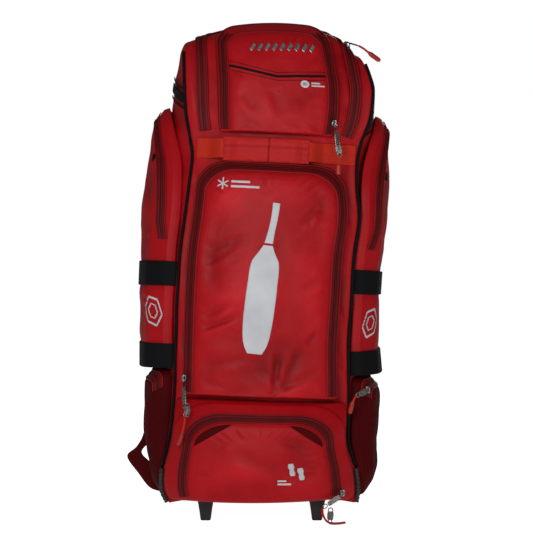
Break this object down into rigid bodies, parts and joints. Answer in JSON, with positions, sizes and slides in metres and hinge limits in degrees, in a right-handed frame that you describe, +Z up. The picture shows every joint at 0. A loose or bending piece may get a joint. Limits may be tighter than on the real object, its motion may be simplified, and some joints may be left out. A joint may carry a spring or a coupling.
{
  "type": "cricket kit bag",
  "caption": "Upright wheeled duffle-style sports kit bag with zipped front and side pockets, front carry handle, backpack straps, feet and rear wheels.",
  "frame": {"origin": "on the floor under the middle of the bag's bounding box, measured without the loose pull cords", "axes": "+Z up, -Y out of the front with the handle and pockets, +X to the right seen from the front"},
  "size_m": [0.5376, 0.3862, 0.9716],
  "materials": {
    "red_cloth": "satin coated polyester",
    "dark_mesh": "open mesh over cloth",
    "zip_tape": "woven tape",
    "orange_webbing": "woven",
    "maroon_webbing": "woven",
    "black_webbing": "woven",
    "black_plastic": "moulded, satin",
    "grey_plastic": "ribbed, satin",
    "zip_metal": "satin",
    "wheel_rubber": "matt"
  },
  "bodies": {
    "bag": {"main_body": "red_cloth", "main_zip": "zip_tape", "helmet_pocket": "red_cloth", "helmet_zip": "zip_tape", "cool_pocket": "red_cloth", "cool_zip": "zip_tape", "shoe_pocket": "red_cloth", "shoe_zip": "zip_tape", "chevron_piping": "black_webbing", "side_pocket_left": "red_cloth", "side_zip_left": "zip_tape", "lower_pocket_left": "dark_mesh", "lower_zip_left": "zip_tape", "band_upper_left": "black_webbing", "band_lower_left": "black_webbing", "trim_left": "black_webbing", "tab_left": "black_webbing", "piping_left": "black_webbing", "corner_guard_left": "grey_plastic", "foot_left": "black_plastic", "wheel_housing_left": "black_plastic", "shoulder_pad_left": "red_cloth", "strap_buckle_left": "black_plastic", "strap_web_left": "maroon_webbing", "side_pocket_right": "red_cloth", "side_zip_right": "zip_tape", "lower_pocket_right": "dark_mesh", "lower_zip_right": "zip_tape", "band_upper_right": "black_webbing", "band_lower_right": "black_webbing", "trim_right": "black_webbing", "tab_right": "black_webbing", "piping_right": "black_webbing", "corner_guard_right": "grey_plastic", "foot_right": "black_plastic", "wheel_housing_right": "black_plastic", "shoulder_pad_right": "red_cloth", "strap_buckle_right": "black_plastic", "strap_web_right": "maroon_webbing", "handle_band": "orange_webbing", "handle_grip": "red_cloth", "cool_slider": "zip_metal", "cool_pull": "zip_metal", "cool_cord": "orange_webbing", "helmet_slider": "zip_metal", "helmet_pull": "zip_metal", "helmet_cord": "orange_webbing", "side_slider": "zip_metal", "side_pull": "zip_metal", "side_cord": "orange_webbing", "shoe_slider": "zip_metal", "shoe_pull": "zip_metal", "shoe_cord": "orange_webbing", "main_slider": "zip_metal", "main_pull": "zip_metal", "main_cord": "orange_webbing"},
    "wheel_left": {"tyre_left": "wheel_rubber", "hub_left": "black_plastic"},
    "wheel_right": {"tyre_right": "wheel_rubber", "hub_right": "black_plastic"}
  },
  "joints": [
    {"name": "wheel_left_spin", "type": "hinge", "parent": "bag", "child": "wheel_left", "pos_m": [-0.1458, 0.12207, 0.04], "axis": [1, 0, 0], "continuous": true},
    {"name": "wheel_right_spin", "type": "hinge", "parent": "bag", "child": "wheel_right", "pos_m": [0.1662, 0.12207, 0.04], "axis": [1, 0, 0], "continuous": true}
  ]
}
